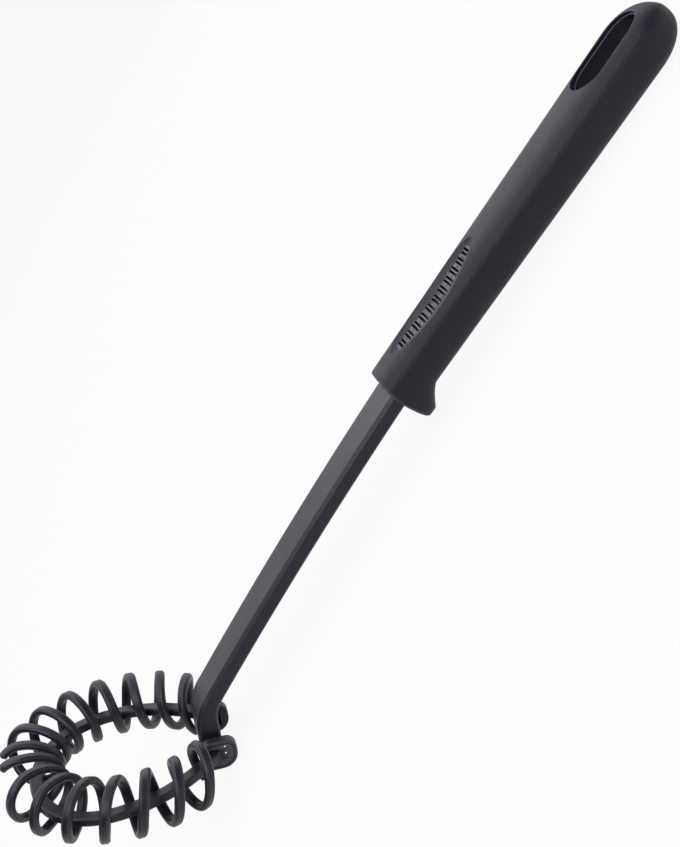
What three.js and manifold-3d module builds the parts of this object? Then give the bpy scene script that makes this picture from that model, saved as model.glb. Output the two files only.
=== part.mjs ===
// A coil whisk for pans: a moulded grip, a bowed arm that ends in a foot, a ring whose two cheeks
// clasp the foot, and two mirrored coils wound on the ring.  Millimetres, +Z up.
// The tool lies as on a table, thumb side up, on the cheeks of the ring and the butt of the grip.
import * as THREE from "three";
import { mergeVertices } from "three/addons/utils/BufferGeometryUtils.js";
import Module from "manifold-3d";

const wasm = await Module();
wasm.setup();

// Clearances
const SEAT_GAP = 0.3;

// Grip: x runs from the collar's front (0) to the butt, z is up on the thumb side
const GRIP_LENGTH = 132.5;
const GRIP_FRONT_WIDTH = 19.8;
const GRIP_BUTT_WIDTH = 24.6;
const GRIP_FRONT_HEIGHT = 14.4;
const GRIP_BUTT_HEIGHT = 16.2;
const GRIP_SQUARENESS = 3.2;
const GRIP_SIDES = 36;
const COLLAR_FRONT = 0.2;
const COLLAR_EDGE = 0.9;
const COLLAR_DOME = 1.0;
const COLLAR_DOME_FADE = 9;
const BUTT_ROUND = 15;
const BUTT_SQUARENESS = 2.2;

// Pot rest: a spur under the collar, as wide as the grip, that hooks on a pan's rim
const SPUR_DROP = 5.1;
const SPUR_TIP_END = 3.9;
const SPUR_REAR = 10.8;
const SPUR_HOLLOW = 0.37;
const SPUR_FLAT = 0.15;

// Thumb dish with its row of grooves, each a pair of fine slits
const DISH_START = 9.9;
const DISH_LENGTH = 40.6;
const DISH_WIDTH = 15;
const DISH_RIM = 0.25;
const DISH_HOLLOW = 1.2;
const DISH_END_POWER = 0.4;
const GROOVE_COUNT = 11;
const GROOVE_PITCH = 3.18;
const GROOVE_DEPTH = 0.45;
const GROOVE_SHARE = 0.55;
const SLIT_WIDTH = 0.45;
const SLIT_SPACING = 0.85;

// Hanging slot, with a ledge just below its upper rim
const SLOT_LENGTH = 26.6;
const SLOT_WIDTH = 15.2;
const SLOT_TO_BUTT = 6.3;
const SLOT_LEDGE = 0.5;
const SLOT_LEDGE_DEPTH = 1.5;

// Arm: a flat bar that bows down from the collar, bends and ends in the foot
const ARM_REACH = 107.4;
const ARM_COLLAR_WIDTH = 16;
const ARM_BEND_WIDTH = 15.4;
const ARM_THICKNESS = 5.1;
const ARM_TOP_CHAMFER = 1;
const ARM_BOTTOM_CHAMFER = 0.6;
const ARM_START_SLOPE = 1.7;
const ARM_END_SLOPE = 5.6;
const BEND_RADIUS = 14;
const FOOT_WIDTH = 16.2;
const FOOT_THICKNESS = 6.9;
const FOOT_ABOVE_RING = 6.2;
const FOOT_BELOW_RING = 5.5;
const ARM_SEAT = 8;
const TANG_LENGTH = 30;
const TANG_WIDTH = 11;
const TANG_THICKNESS = 3.6;

// Head: the frame of the ring has its X towards the foot and its Z square to the plane of the ring
const HEAD_ANGLE = 47;
const FOOT_INSET = 3.8;

// Ring: the bar that carries the coils, and the two cheeks at its ends
const RING_LENGTH = 58.6;
const RING_WIDTH = 53;
const RING_EGG = 0.2;
const RING_SHIFT = 0.8;
const RING_LEVEL_DROP = 2.45;
const RING_FALL = 0.054;
const BAR_WIDTH = 4.2;
const BAR_HEIGHT = 2.8;
const BAR_CHAMFER = 0.4;
const BAR_STEPS = 60;
const CHEEK_THICKNESS = 3.5;
const CHEEK_AHEAD = 3.7;
const CHEEK_BEHIND = 7.3;
const CHEEK_TOP = 3.2;
const CHEEK_BOTTOM = -6.4;
const CHEEK_CORNER = 2.6;
const CHEEK_HEEL = 4.4;
const CHEEK_EDGE = 0.5;

// Coils: two mirrored flat strands that wind round a loop a little outside and above the ring's bar.
// Reaches are from the loop to the strand's middle, towards the foot and towards the front of the ring.
const LOOP_END_OFFSET = 1.8;
const LOOP_SIDE_OFFSET = 2.7;
const LOOP_SHIFT = -0.8;
const LOOP_LEVEL = 0.5;
const STRAND_WIDTH = 3.1;
const STRAND_THICKNESS = 2.3;
const COIL_TOPS = 8;
const COIL_FIRST_TOP = 43.6;
const COIL_PITCH = 17.9;
const COIL_PITCH_GROWTH = 0.07;
const COIL_ROOT_LEAN = 4;
const COIL_FIRST_LEAD = 3.8;
const COIL_LAST_LEAD = -4.8;
const COIL_RISE = 7.6;
const COIL_DROP_FOOT = 9.9;
const COIL_DROP_FRONT = 8.35;
const COIL_OUT_FOOT = 6.3;
const COIL_OUT_FRONT = 7.4;
const COIL_IN_FRONT = 11.7;
const COIL_SEAT_TURN = 0.25;
const COIL_SEAT_ROLL = 22;
const COIL_ROOT_TURN = 0.4;
const COIL_FREE_TURN = 0.13;
const COIL_LEAD_FADE = 0.35;
const COIL_STEPS = 24;
const STRAND_SIDES = 8;

// Key: a block on each side of the foot that sits in a pocket of the cheek, with two sight holes
const KEY_LENGTH = 5.6;
const KEY_HEIGHT = 5;
const KEY_DEPTH = 2.4;
const KEY_DROP = 1;
const POCKET_RELIEF = 1.7;
const SIGHT_HOLE_DIAMETER = 0.9;
const SIGHT_HOLE_RISE = 0.9;
const SIGHT_HOLE_SPACING = 2.3;
const SIGHT_HOLE_SIDES = 10;

const MATERIALS = {
  grip: new THREE.MeshStandardMaterial({ color: 0x2b2b2e, roughness: 0.5, metalness: 0 }),
  nylon: new THREE.MeshStandardMaterial({ color: 0x26262a, roughness: 0.42, metalness: 0 }),
};

const { degToRad, lerp, smoothstep } = THREE.MathUtils;

// Geometry from vertices and triangles, turned so that its faces point outwards
function closedGeometry(points, triangles) {
  let volume = 0;
  const cross = new THREE.Vector3();
  for (let i = 0; i < triangles.length; i += 3) {
    const [a, b, c] = [0, 1, 2].map((n) => points[triangles[i + n]]);
    volume += a.dot(cross.crossVectors(b, c)) / 6;
  }
  if (volume < 0) triangles.reverse();
  return new THREE.BufferGeometry().setFromPoints(points).setIndex(triangles);
}

// Skin over a row of rings with equal numbers of points, closed by a fan at each end
function loft(rings) {
  const sides = rings[0].length;
  const points = rings.flat();
  const triangles = [];
  for (let i = 0; i + 1 < rings.length; i++) {
    for (let j = 0; j < sides; j++) {
      const near = i * sides;
      const next = (j + 1) % sides;
      const far = near + sides;
      triangles.push(near + j, near + next, far + next, near + j, far + next, far + j);
    }
  }
  const middle = (ring) => ring.reduce((sum, p) => sum.add(p), new THREE.Vector3()).divideScalar(sides);
  const last = (rings.length - 1) * sides;
  const firstMiddle = points.push(middle(rings[0])) - 1;
  const lastMiddle = points.push(middle(rings.at(-1))) - 1;
  for (let j = 0; j < sides; j++) {
    const next = (j + 1) % sides;
    triangles.push(firstMiddle, next, j, lastMiddle, last + j, last + next);
  }
  return closedGeometry(points, triangles);
}

// Solids for joining and cutting
function solid(geometry) {
  const bare = new THREE.BufferGeometry().setAttribute("position", geometry.getAttribute("position").clone());
  bare.setIndex(geometry.index);
  const merged = mergeVertices(bare, 1e-4);
  return new wasm.Manifold(
    new wasm.Mesh({
      numProp: 3,
      vertProperties: new Float32Array(merged.attributes.position.array),
      triVerts: new Uint32Array(merged.index.array),
    }),
  );
}

function geometryOf(body) {
  const mesh = body.getMesh();
  return new THREE.BufferGeometry()
    .setAttribute("position", new THREE.BufferAttribute(new Float32Array(mesh.vertProperties), 3))
    .setIndex(new THREE.BufferAttribute(new Uint32Array(mesh.triVerts), 1));
}

function joined(geometries) {
  return geometries.map(solid).reduce((sum, body) => sum.add(body));
}

// A rectangle with its corners cut, as points across and up
function chamferedRectangle(width, height, topCut, bottomCut) {
  const w = width / 2;
  const h = height / 2;
  return [
    [w - topCut, h], [topCut - w, h], [-w, h - topCut], [-w, bottomCut - h],
    [bottomCut - w, -h], [w - bottomCut, -h], [w, bottomCut - h], [w, h - topCut],
  ];
}

// Grip

const BUTT_START = GRIP_LENGTH - BUTT_ROUND;

function gripHalfSizes(x) {
  const share = x / GRIP_LENGTH;
  const past = Math.max(0, x - BUTT_START) / BUTT_ROUND;
  const taper = (1 - past ** BUTT_SQUARENESS) ** (1 / BUTT_SQUARENESS);
  return {
    width: (taper * lerp(GRIP_FRONT_WIDTH, GRIP_BUTT_WIDTH, share)) / 2,
    height: (taper * lerp(GRIP_FRONT_HEIGHT, GRIP_BUTT_HEIGHT, share)) / 2,
  };
}

// Height of the grip's top surface at x along it and y across it
function gripTop(x, y) {
  const half = gripHalfSizes(x);
  return half.height * (1 - Math.abs(y / half.width) ** GRIP_SQUARENESS) ** (1 / GRIP_SQUARENESS);
}

// Drop of the pot rest below the grip's underside: level at its tip, then a hollow curve to the rear
function spurDrop(x) {
  const share = Math.min(1, Math.max(0, (x - SPUR_TIP_END) / (SPUR_REAR - SPUR_TIP_END)));
  return SPUR_DROP * (1 - share) * (1 - share + 2 * SPUR_HOLLOW * share);
}

const SPUR_LEVEL = SPUR_FLAT - GRIP_FRONT_HEIGHT / 2 - SPUR_DROP;

function gripRing(x, inset) {
  const half = gripHalfSizes(x);
  const power = 2 / GRIP_SQUARENESS;
  const dome = COLLAR_DOME * Math.max(0, 1 - x / COLLAR_DOME_FADE);
  return Array.from({ length: GRIP_SIDES }, (_, j) => {
    const angle = (2 * Math.PI * j) / GRIP_SIDES;
    const rounded = (value) => Math.sign(value) * Math.abs(value) ** power;
    const up = rounded(Math.sin(angle));
    const y = (half.width - inset) * rounded(Math.cos(angle));
    const height = half.height - inset + (up < 0 ? spurDrop(x) : 0);
    return new THREE.Vector3(x + dome * up * up, y, Math.max(SPUR_LEVEL, height * up));
  });
}

function gripBody() {
  const rings = [];
  for (const angle of [0, 30, 60, 90]) {
    const x = COLLAR_FRONT + COLLAR_EDGE * (1 - Math.cos(degToRad(angle)));
    rings.push(gripRing(x, COLLAR_EDGE * (1 - Math.sin(degToRad(angle)))));
  }
  const spurSteps = 7;
  for (let i = 0; i < spurSteps; i++) {
    rings.push(gripRing(lerp(SPUR_TIP_END, SPUR_REAR, i / spurSteps), 0));
  }
  const straightSteps = 11;
  for (let i = 0; i <= straightSteps; i++) {
    rings.push(gripRing(lerp(SPUR_REAR, BUTT_START, i / straightSteps), 0));
  }
  for (const angle of [16, 30, 42, 53, 63, 72, 80, 86]) {
    rings.push(gripRing(BUTT_START + BUTT_ROUND * Math.sin(degToRad(angle)), 0));
  }
  return loft(rings);
}

const DISH_MIDDLE = DISH_START + DISH_LENGTH / 2;
const ABOVE_GRIP = GRIP_BUTT_HEIGHT;

// Half width of the dish, which is an ellipse seen from above
function dishHalfWidth(x) {
  return (DISH_WIDTH / 2) * Math.sqrt(1 - ((x - DISH_MIDDLE) / (DISH_LENGTH / 2)) ** 2);
}

function dishFloor(x, y) {
  const half = dishHalfWidth(x);
  const share = (half / (DISH_WIDTH / 2)) ** DISH_END_POWER;
  return gripTop(x, half) - share * (DISH_RIM + DISH_HOLLOW * (1 - (y / half) ** 2));
}

function dishCutter() {
  const steps = 16;
  const across = 8;
  const tip = 0.02;
  const rings = Array.from({ length: steps + 1 }, (_, i) => {
    const along = lerp(-1 + tip, 1 - tip, i / steps);
    const x = DISH_MIDDLE + (DISH_LENGTH / 2) * Math.sin((along * Math.PI) / 2);
    const half = dishHalfWidth(x);
    const ring = [];
    for (let j = 0; j <= across; j++) {
      const y = half * ((2 * j) / across - 1);
      ring.push(new THREE.Vector3(x, y, dishFloor(x, y)));
    }
    ring.push(new THREE.Vector3(x, half, ABOVE_GRIP), new THREE.Vector3(x, -half, ABOVE_GRIP));
    return ring;
  });
  return loft(rings);
}

function dishGrooves() {
  return Array.from({ length: 2 * GROOVE_COUNT }, (_, i) => {
    const groove = DISH_MIDDLE + (Math.floor(i / 2) - (GROOVE_COUNT - 1) / 2) * GROOVE_PITCH;
    const x = groove + ((i % 2) - 0.5) * SLIT_SPACING;
    const bottom = dishFloor(groove, 0) - GROOVE_DEPTH;
    const height = ABOVE_GRIP - bottom;
    return new THREE.BoxGeometry(SLIT_WIDTH, 2 * GROOVE_SHARE * dishHalfWidth(groove), height)
      .translate(x, 0, bottom + height / 2);
  });
}

// A slot with round ends, from one height to another
function slotCutter(length, width, low, high) {
  const straight = (length - width) / 2;
  const plan = new THREE.Shape()
    .absarc(straight, 0, width / 2, -Math.PI / 2, Math.PI / 2)
    .absarc(-straight, 0, width / 2, Math.PI / 2, (3 * Math.PI) / 2);
  const middle = GRIP_LENGTH - SLOT_TO_BUTT - SLOT_LENGTH / 2;
  return new THREE.ExtrudeGeometry(plan, { depth: high - low, bevelEnabled: false, curveSegments: 12 })
    .translate(middle, 0, low);
}

function hangingSlot() {
  const ledge = GRIP_BUTT_HEIGHT / 2 - SLOT_LEDGE_DEPTH;
  const narrower = 2 * SLOT_LEDGE;
  return [
    slotCutter(SLOT_LENGTH, SLOT_WIDTH, ledge, ABOVE_GRIP),
    slotCutter(SLOT_LENGTH - narrower, SLOT_WIDTH - narrower, -ABOVE_GRIP, ABOVE_GRIP),
  ];
}

// Arm

const START_SLOPE = degToRad(ARM_START_SLOPE);
const END_SLOPE = degToRad(ARM_END_SLOPE);
const FOOT_SLOPE = degToRad(90 - HEAD_ANGLE);
const BOW_RADIUS = ARM_REACH / (END_SLOPE - START_SLOPE);
const BEND_LENGTH = BEND_RADIUS * (FOOT_SLOPE - END_SLOPE);
const FOOT_START = ARM_REACH + BEND_LENGTH;
const RING_LEVEL = FOOT_START + FOOT_ABOVE_RING;
const ARM_LENGTH = RING_LEVEL + FOOT_BELOW_RING;

// A point that has gone a length along a curve that starts level with a slope and turns down on a radius
function alongArc(start, slope, radius, length) {
  const turned = slope + length / radius;
  return {
    x: start.x - radius * (Math.sin(turned) - Math.sin(slope)),
    z: start.z + radius * (Math.cos(turned) - Math.cos(slope)),
    slope: turned,
  };
}

function alongLine(start, slope, length) {
  return { x: start.x - length * Math.cos(slope), z: start.z - length * Math.sin(slope), slope };
}

// The arm's middle line: straight inside the grip, then the bow, the bend and the straight foot
function armPlace(length) {
  const collar = { x: 0, z: 0 };
  if (length <= 0) return alongLine(collar, START_SLOPE, length);
  const bowEnd = alongArc(collar, START_SLOPE, BOW_RADIUS, ARM_REACH);
  if (length <= ARM_REACH) return alongArc(collar, START_SLOPE, BOW_RADIUS, length);
  if (length <= FOOT_START) return alongArc(bowEnd, END_SLOPE, BEND_RADIUS, length - ARM_REACH);
  const bendEnd = alongArc(bowEnd, END_SLOPE, BEND_RADIUS, BEND_LENGTH);
  return alongLine(bendEnd, FOOT_SLOPE, length - FOOT_START);
}

function armRing(length, width, thickness) {
  const place = armPlace(length);
  const section = chamferedRectangle(width, thickness, ARM_TOP_CHAMFER, ARM_BOTTOM_CHAMFER);
  return section.map(([across, up]) => {
    const x = place.x - up * Math.sin(place.slope);
    return new THREE.Vector3(x, across, place.z + up * Math.cos(place.slope));
  });
}

// The tang and the seated end of the arm, made larger by a clearance for the socket
function seatedRings(clearance) {
  const grow = 2 * clearance;
  const shoulder = -ARM_SEAT - clearance;
  return [
    armRing(shoulder - TANG_LENGTH, TANG_WIDTH + grow, TANG_THICKNESS + grow),
    armRing(shoulder, TANG_WIDTH + grow, TANG_THICKNESS + grow),
    armRing(shoulder, ARM_COLLAR_WIDTH + grow, ARM_THICKNESS + grow),
  ];
}

function armBody() {
  const rings = seatedRings(0);
  const bowSteps = 12;
  for (let i = 0; i <= bowSteps; i++) {
    const share = i / bowSteps;
    rings.push(armRing(share * ARM_REACH, lerp(ARM_COLLAR_WIDTH, ARM_BEND_WIDTH, share), ARM_THICKNESS));
  }
  const bendSteps = 8;
  for (let i = 1; i <= bendSteps; i++) {
    const share = i / bendSteps;
    const width = lerp(ARM_BEND_WIDTH, FOOT_WIDTH, share);
    rings.push(armRing(ARM_REACH + share * BEND_LENGTH, width, lerp(ARM_THICKNESS, FOOT_THICKNESS, share)));
  }
  rings.push(armRing(ARM_LENGTH, FOOT_WIDTH, FOOT_THICKNESS));
  return loft(rings);
}

function armSocket() {
  const grow = 2 * SEAT_GAP;
  const outside = armRing(2 * COLLAR_DOME + SEAT_GAP, ARM_COLLAR_WIDTH + grow, ARM_THICKNESS + grow);
  return loft([...seatedRings(SEAT_GAP), outside]);
}

// Head

const FOOT_TO_CENTRE = RING_LENGTH / 2 - FOOT_INSET;

const head = new THREE.Group();
const ringFoot = armPlace(RING_LEVEL);
const headTurn = degToRad(HEAD_ANGLE);
head.rotation.y = headTurn;
head.position.set(
  ringFoot.x - FOOT_TO_CENTRE * Math.cos(headTurn),
  0,
  ringFoot.z + FOOT_TO_CENTRE * Math.sin(headTurn),
);
head.updateMatrix();

const CHEEK_INSIDE = FOOT_WIDTH / 2 + SEAT_GAP;
const CHEEK_MIDDLE = CHEEK_INSIDE + CHEEK_THICKNESS / 2;
const KEY_REACH = CHEEK_INSIDE + KEY_DEPTH;
const KEY_REAR = FOOT_TO_CENTRE + FOOT_THICKNESS / 2 - ARM_TOP_CHAMFER / 2;

function keyBlock() {
  return new THREE.BoxGeometry(KEY_LENGTH, 2 * KEY_REACH, KEY_HEIGHT)
    .translate(KEY_REAR - KEY_LENGTH / 2, 0, -KEY_DROP);
}

function keyPocket() {
  const front = KEY_REAR - KEY_LENGTH - SEAT_GAP;
  const rear = KEY_REAR + POCKET_RELIEF;
  return new THREE.BoxGeometry(rear - front, 2 * (KEY_REACH + SEAT_GAP), KEY_HEIGHT + 2 * SEAT_GAP)
    .translate((front + rear) / 2, 0, -KEY_DROP);
}

// Ring

// A point at an angle from the foot on the ring's middle line: an egg that narrows to the foot and
// falls a little towards its front
function ringPoint(angle) {
  const x = RING_SHIFT + (RING_LENGTH / 2) * Math.cos(angle);
  const y = -(RING_WIDTH / 2) * Math.sin(angle) * (1 - RING_EGG * Math.cos(angle));
  return new THREE.Vector3(x, y, RING_FALL * x - RING_LEVEL_DROP);
}

function ringOutward(angle) {
  const small = 1e-3;
  const along = ringPoint(angle + small).sub(ringPoint(angle - small));
  return new THREE.Vector3(-along.y, along.x, 0).normalize();
}

// Angle at which the ring's middle line is in the middle of a cheek
function ringEnd() {
  let angle = 0;
  for (let i = 0; i < 30; i++) {
    angle = Math.asin(CHEEK_MIDDLE / ((RING_WIDTH / 2) * (1 - RING_EGG * Math.cos(angle))));
  }
  return angle;
}

function ringBar() {
  const section = chamferedRectangle(BAR_WIDTH, BAR_HEIGHT, BAR_CHAMFER, BAR_CHAMFER);
  const end = ringEnd();
  const rings = Array.from({ length: BAR_STEPS + 1 }, (_, i) => {
    const angle = lerp(end, 2 * Math.PI - end, i / BAR_STEPS);
    const middle = ringPoint(angle);
    const outward = ringOutward(angle);
    return section.map(([across, up]) => {
      const point = middle.clone().addScaledVector(outward, across);
      return point.setZ(middle.z + up);
    });
  });
  return loft(rings);
}

// A cheek: a plate with round corners and a rounder heel, beside the foot
function cheek(side) {
  const inset = CHEEK_EDGE;
  const [front, rear] = [FOOT_TO_CENTRE - CHEEK_AHEAD + inset, FOOT_TO_CENTRE + CHEEK_BEHIND - inset];
  const [bottom, top] = [CHEEK_BOTTOM + inset, CHEEK_TOP - inset];
  const plan = new THREE.Shape()
    .absarc(rear - CHEEK_CORNER, top - CHEEK_CORNER, CHEEK_CORNER, 0, Math.PI / 2)
    .absarc(front + CHEEK_CORNER, top - CHEEK_CORNER, CHEEK_CORNER, Math.PI / 2, Math.PI)
    .absarc(front + CHEEK_CORNER, bottom + CHEEK_CORNER, CHEEK_CORNER, Math.PI, (3 * Math.PI) / 2)
    .absarc(rear - CHEEK_HEEL, bottom + CHEEK_HEEL, CHEEK_HEEL, (3 * Math.PI) / 2, 2 * Math.PI);
  const depth = CHEEK_THICKNESS - 2 * CHEEK_EDGE;
  return new THREE.ExtrudeGeometry(plan, {
    depth,
    curveSegments: 7,
    bevelThickness: CHEEK_EDGE,
    bevelSize: CHEEK_EDGE,
    bevelSegments: 2,
  })
    .translate(0, 0, -depth / 2)
    .rotateX(Math.PI / 2)
    .translate(0, side * CHEEK_MIDDLE, 0);
}

// Sight holes run behind the key, through the thin skin that its pocket leaves
function sightHole(step) {
  const length = 3 * (CHEEK_INSIDE + CHEEK_THICKNESS);
  const radius = SIGHT_HOLE_DIAMETER / 2;
  return new THREE.CylinderGeometry(radius, radius, length, SIGHT_HOLE_SIDES)
    .translate(KEY_REAR + SEAT_GAP + radius, 0, SIGHT_HOLE_RISE - KEY_DROP + step * (SIGHT_HOLE_SPACING / 2));
}

function ringBody() {
  const holes = [-1, 1].map(sightHole).map(solid);
  const whole = joined([ringBar(), cheek(1), cheek(-1)]).subtract(solid(keyPocket()));
  return geometryOf(holes.reduce((body, hole) => body.subtract(hole), whole));
}

// Coils

const LAST_TOP = COIL_TOPS - 1;

// Angle round the loop after a number of turns; whole turns are the tops.  The lead puts the advance
// of the first turns on their tops and that of the last turns on their bottoms.
function coilAngle(turn) {
  const lead = lerp(COIL_FIRST_LEAD, COIL_LAST_LEAD, turn / LAST_TOP);
  const fade = smoothstep(LAST_TOP + COIL_FREE_TURN - turn, 0, COIL_LEAD_FADE);
  const steady = COIL_FIRST_TOP + (COIL_PITCH + COIL_PITCH_GROWTH * turn) * turn;
  const lean = COIL_ROOT_LEAN * Math.min(turn, 0);
  return degToRad(steady + lean + lead * fade * Math.sin(2 * Math.PI * turn));
}

// Share of the way from the front of the ring (0) to the foot (1)
function towardsFoot(angle) {
  return (1 + Math.cos(angle)) / 2;
}

const LOOP_A = RING_LENGTH / 2 + LOOP_END_OFFSET;
const LOOP_B = RING_WIDTH / 2 + LOOP_SIDE_OFFSET;

function loopPoint(angle) {
  return new THREE.Vector3(LOOP_SHIFT + LOOP_A * Math.cos(angle), -LOOP_B * Math.sin(angle), LOOP_LEVEL);
}

function loopOutward(angle) {
  return new THREE.Vector3(Math.cos(angle) / LOOP_A, -Math.sin(angle) / LOOP_B, 0).normalize();
}

// Least distance in plan from a point to the ring's middle line
function planDistanceToRing(point) {
  const samples = Array.from({ length: 721 }, (_, i) => ringPoint((Math.PI * i) / 720));
  return Math.min(...samples.map((sample) => Math.hypot(sample.x - point.x, sample.y - point.y)));
}

// At its root the coil passes the inner face of the ring's bar one seat gap away
const ROOT_ANGLE = coilAngle(-COIL_SEAT_TURN);
const ROOT_SHARE = towardsFoot(ROOT_ANGLE);
const SEAT_REACH = BAR_WIDTH / 2 + SEAT_GAP + STRAND_WIDTH / 2;
const SEAT_DISTANCE = planDistanceToRing(loopPoint(ROOT_ANGLE)) + SEAT_REACH;
const COIL_IN_ROOT = SEAT_DISTANCE / Math.cos(degToRad(COIL_SEAT_ROLL));

// The coil's middle line, which runs over each top from the inside of the ring to the outside
function coilPoint(turn) {
  const angle = coilAngle(turn);
  const share = towardsFoot(angle);
  const roll = Math.PI / 2 - 2 * Math.PI * turn;
  const out = lerp(COIL_OUT_FRONT, COIL_OUT_FOOT, share);
  const into = lerp(COIL_IN_FRONT, COIL_IN_ROOT, share / ROOT_SHARE);
  const drop = lerp(COIL_DROP_FRONT, COIL_DROP_FOOT, share);
  const across = Math.cos(roll) * (Math.cos(roll) > 0 ? out : into);
  const up = Math.sin(roll) * (Math.sin(roll) > 0 ? COIL_RISE : drop);
  return loopPoint(angle)
    .addScaledVector(loopOutward(angle), across)
    .add(new THREE.Vector3(0, 0, up));
}

function coilTurns() {
  const span = COIL_ROOT_TURN + LAST_TOP + COIL_FREE_TURN;
  const steps = Math.round(span * COIL_STEPS);
  return Array.from({ length: steps + 1 }, (_, i) => -COIL_ROOT_TURN + (span * i) / steps);
}

function coilBody() {
  const small = 1e-3;
  const rings = coilTurns().map((turn) => {
    const point = coilPoint(turn);
    const along = coilPoint(turn + small).sub(coilPoint(turn - small)).normalize();
    const spoke = point.clone().sub(loopPoint(coilAngle(turn)));
    const side = new THREE.Vector3().crossVectors(along, spoke).normalize();
    const out = new THREE.Vector3().crossVectors(side, along);
    return Array.from({ length: STRAND_SIDES }, (_, j) => {
      const angle = (2 * Math.PI * j) / STRAND_SIDES;
      return point
        .clone()
        .addScaledVector(out, (STRAND_THICKNESS / 2) * Math.cos(angle))
        .addScaledVector(side, (STRAND_WIDTH / 2) * Math.sin(angle));
    });
  });
  return loft(rings);
}

// Least gap between points of the strand that are at least half a turn apart
function coilLeastGap() {
  const points = coilTurns().map(coilPoint);
  const apart = COIL_STEPS / 2;
  let least = Infinity;
  for (let i = 0; i < points.length; i++) {
    for (let j = i + apart; j < points.length; j++) {
      least = Math.min(least, points[i].distanceTo(points[j]));
    }
  }
  return least - STRAND_WIDTH;
}

function mirrored(geometry) {
  const turned = geometry.clone().scale(1, -1, 1);
  turned.setIndex([...geometry.index.array].reverse());
  return turned;
}

// Assembly

function named(name, geometry, material) {
  geometry.computeVertexNormals();
  const mesh = new THREE.Mesh(geometry, material);
  mesh.name = name;
  return mesh;
}

const cutters = [dishCutter(), ...dishGrooves(), ...hangingSlot(), armSocket()];
const gripSolid = cutters.map(solid).reduce((body, cut) => body.subtract(cut), solid(gripBody()));
const armSolid = joined([armBody(), keyBlock().applyMatrix4(head.matrix)]);
const coil = coilBody();

const grip = named("handle", geometryOf(gripSolid), MATERIALS.grip);
const arm = named("arm", geometryOf(armSolid), MATERIALS.nylon);
const ring = named("ring", ringBody(), MATERIALS.nylon);
const rightCoil = named("coil_right", coil, MATERIALS.nylon);
const leftCoil = named("coil_left", mirrored(coil), MATERIALS.nylon);
head.add(ring, rightCoil, leftCoil);

const tool = new THREE.Group();
tool.add(grip, arm, head);

const whisk = new THREE.Group();
whisk.name = "coil_whisk";
whisk.add(tool);

// Lay the tool down: tip it until the head and the grip touch the table together
function lowest(object) {
  whisk.updateMatrixWorld(true);
  return new THREE.Box3().setFromObject(object, true).min.z;
}

let [level, tipped] = [0, degToRad(20)];
for (let i = 0; i < 40; i++) {
  tool.rotation.y = (level + tipped) / 2;
  if (lowest(head) < lowest(grip)) level = tool.rotation.y;
  else tipped = tool.rotation.y;
}
whisk.updateMatrixWorld(true);
const box = new THREE.Box3().setFromObject(whisk, true);
tool.position.set(-(box.min.x + box.max.x) / 2, -(box.min.y + box.max.y) / 2, -box.min.z);
whisk.updateMatrixWorld(true);

console.log("least gap between the turns of a coil:", coilLeastGap().toFixed(2), "mm");

export default whisk;
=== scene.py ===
"""A black coil whisk: fine meshes, plastics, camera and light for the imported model."""

from math import asin, cos, hypot, pi, radians, sin, sqrt

import bmesh
import bpy
from mathutils import Matrix, Vector


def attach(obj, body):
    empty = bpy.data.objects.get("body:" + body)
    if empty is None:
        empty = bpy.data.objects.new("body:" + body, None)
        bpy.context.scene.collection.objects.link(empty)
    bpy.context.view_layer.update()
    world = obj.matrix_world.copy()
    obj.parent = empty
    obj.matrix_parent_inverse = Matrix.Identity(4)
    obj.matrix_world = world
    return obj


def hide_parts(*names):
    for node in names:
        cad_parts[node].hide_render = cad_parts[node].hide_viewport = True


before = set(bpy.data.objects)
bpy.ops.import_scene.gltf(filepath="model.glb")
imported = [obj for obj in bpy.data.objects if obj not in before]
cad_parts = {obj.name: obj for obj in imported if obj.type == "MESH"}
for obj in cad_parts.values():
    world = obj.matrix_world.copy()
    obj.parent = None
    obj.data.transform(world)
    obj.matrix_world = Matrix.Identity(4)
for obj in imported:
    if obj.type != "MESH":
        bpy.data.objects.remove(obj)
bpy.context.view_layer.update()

# Shapes are made in millimetres, in the frame of the grip or of the head, and scaled at the end
TO_METRES = Matrix.Scale(0.001, 4)
TILT = radians(3.56764)
TOOL_PLACE = (16.00576, 0, 14.97701)
TOOL = TO_METRES @ Matrix.Translation(TOOL_PLACE) @ Matrix.Rotation(TILT, 4, "Y")
SEAT_GAP = 0.3
SMALL_STEP = 1e-3
ROUND_STEPS = 5

# Grip, with x from the collar to the butt and z up on the thumb side
GRIP_LENGTH = 132.5
GRIP_WIDTHS = (19.8, 24.6)
GRIP_HEIGHTS = (14.4, 16.2)
GRIP_SQUARENESS = 3.2
GRIP_SIDES = 112
GRIP_STEPS = 60
GRIP_VOXEL = 0.34
GRIP_SMOOTH_PASSES = 3
GRIP_SHARP_ANGLE = 38
COLLAR_FRONT = 0.2
COLLAR_EDGE = 0.9
COLLAR_EDGE_ANGLES = (0, 18, 36, 54, 72)
COLLAR_STEPS = 4
COLLAR_DOME = 1.0
COLLAR_DOME_FADE = 9
BUTT_ROUND = 15
BUTT_STEPS = 24
BUTT_SQUARENESS = 2.2
BUTT_START = GRIP_LENGTH - BUTT_ROUND
ABOVE_GRIP = 16

# Pot rest under the collar
SPUR_DROP = 5.1
SPUR_TIP_END = 3.9
SPUR_REAR = 10.8
SPUR_HOLLOW = 0.37
SPUR_STEPS = 14
SPUR_LEVEL = 0.15 - GRIP_HEIGHTS[0] / 2 - SPUR_DROP

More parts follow.
